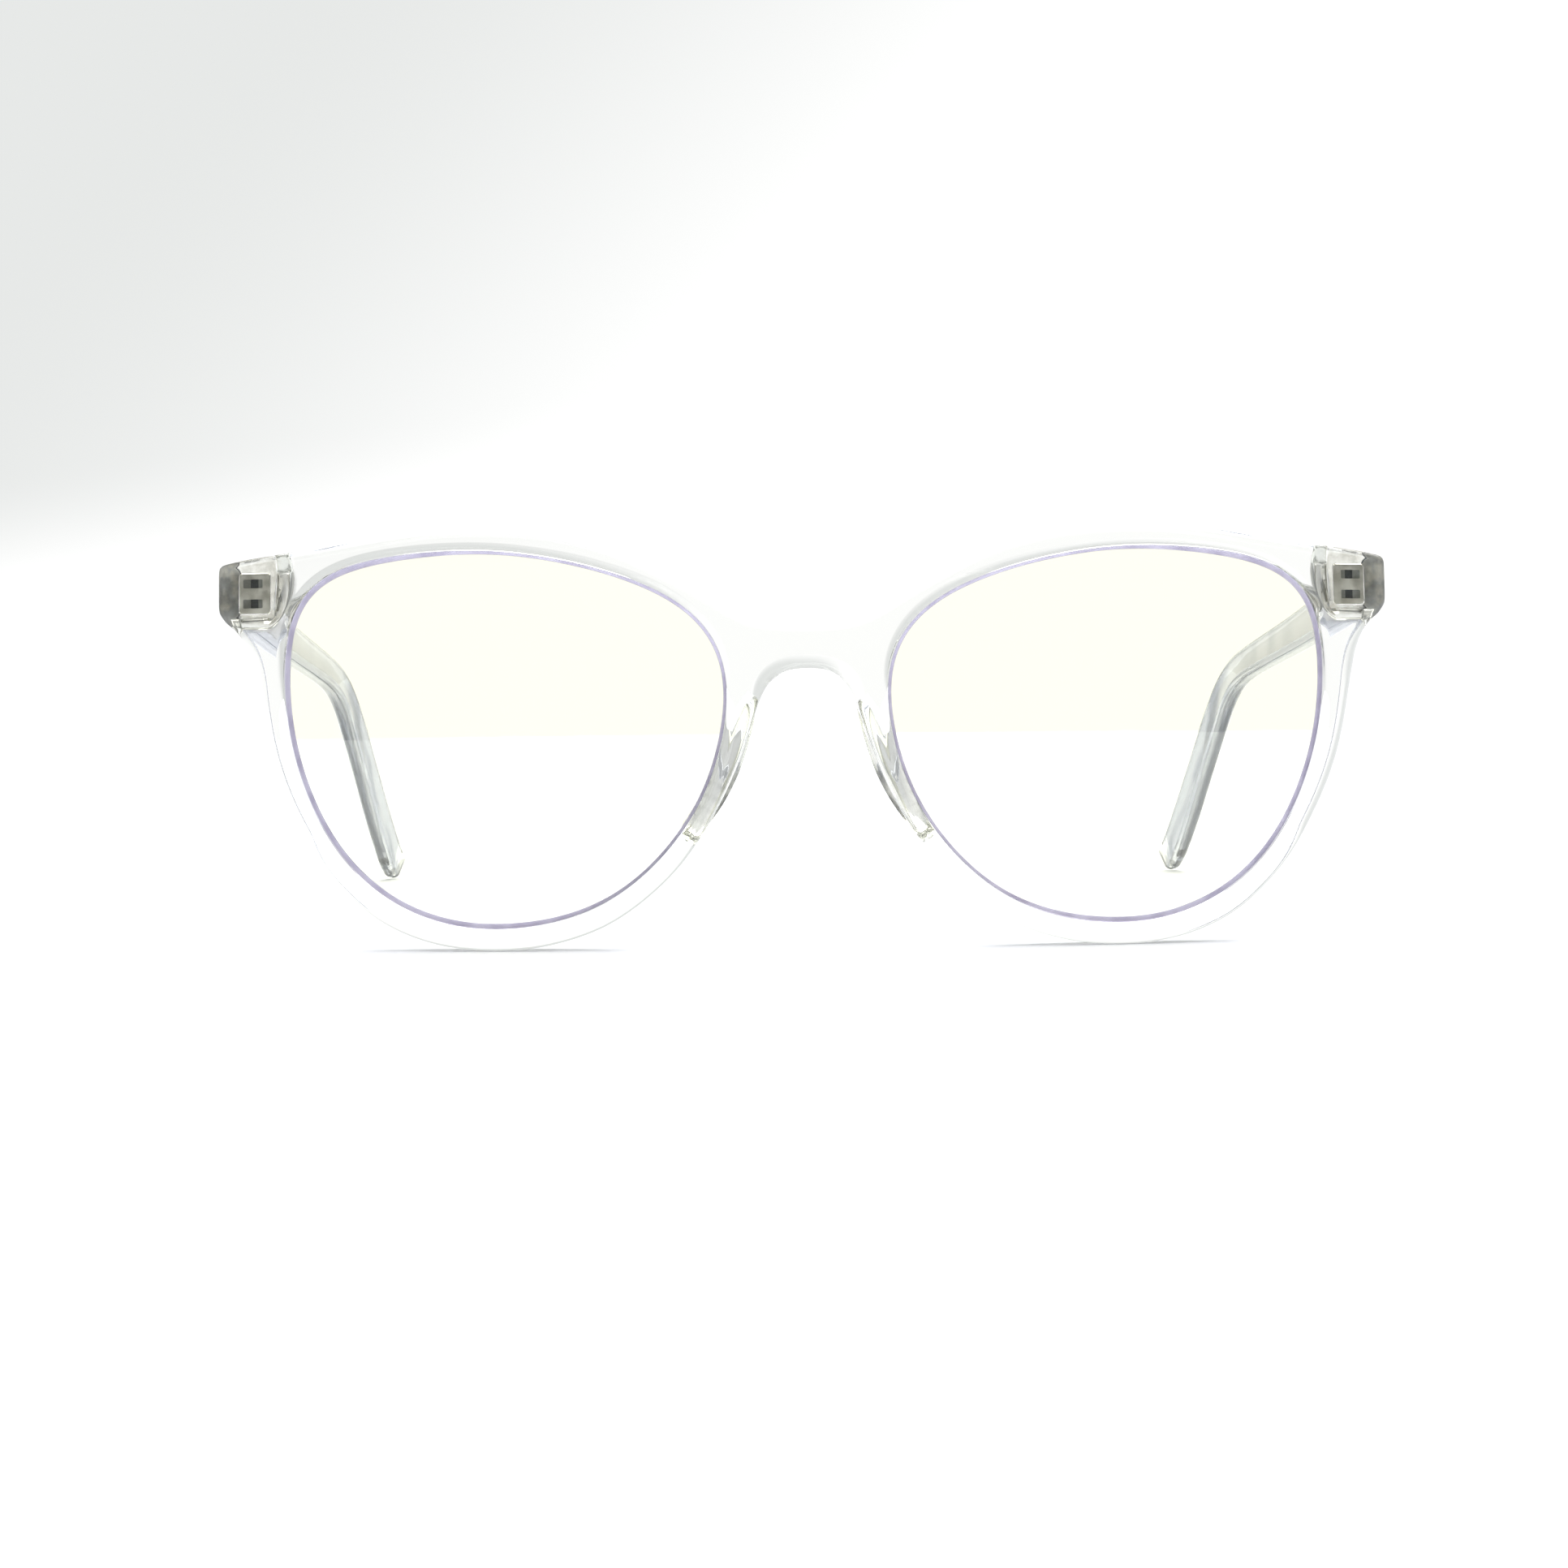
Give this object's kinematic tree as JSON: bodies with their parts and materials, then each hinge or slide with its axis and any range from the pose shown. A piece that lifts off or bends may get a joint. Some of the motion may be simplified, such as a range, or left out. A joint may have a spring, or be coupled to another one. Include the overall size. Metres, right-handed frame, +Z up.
{
  "type": "glasses",
  "caption": "Clear moulded glasses with slightly cat-eye rims, pale yellow-tinted lenses, bonded nose pads and folding temples on screwed barrel hinges.",
  "frame": {"origin": "bottom centre of the box round the open glasses, on the table plane, midway between the temples", "axes": "+Z up, -Y is where the wearer looks, +X is the wearer's left; the front stands in the XZ plane and the temples run towards +Y"},
  "size_m": [0.1408, 0.1352, 0.0502],
  "materials": {
    "clear_frame": "clear polished moulded plastic with cool grey edges",
    "clear_temple": "clear polished moulded plastic",
    "clear_pad": "clear polished plastic",
    "lens": "clear lens with a very pale yellow tint and a lavender coating reflection at its bevelled edge",
    "hinge_metal": "dull nickel silver",
    "screw_metal": "bright steel with a single slot"
  },
  "bodies": {
    "front": {"frame_front": "clear_frame", "lens_left": "lens", "lens_right": "lens", "nose_pad_left": "clear_pad", "nose_pad_right": "clear_pad", "front_hinge_left": "hinge_metal", "front_hinge_right": "hinge_metal", "hinge_screw_left": "screw_metal", "hinge_screw_right": "screw_metal"},
    "temple_left": {"temple_left": "clear_temple", "temple_hinge_left": "hinge_metal"},
    "temple_right": {"temple_right": "clear_temple", "temple_hinge_right": "hinge_metal"}
  },
  "joints": [
    {"name": "fold_left", "type": "hinge", "parent": "front", "child": "temple_left", "pos_m": [0.06595, -0.05246, 0.04265], "axis": [0, 0, 1], "range_deg": [0, 90]},
    {"name": "fold_right", "type": "hinge", "parent": "front", "child": "temple_right", "pos_m": [-0.06595, -0.05246, 0.04265], "axis": [0, 0, -1], "range_deg": [0, 86]}
  ]
}
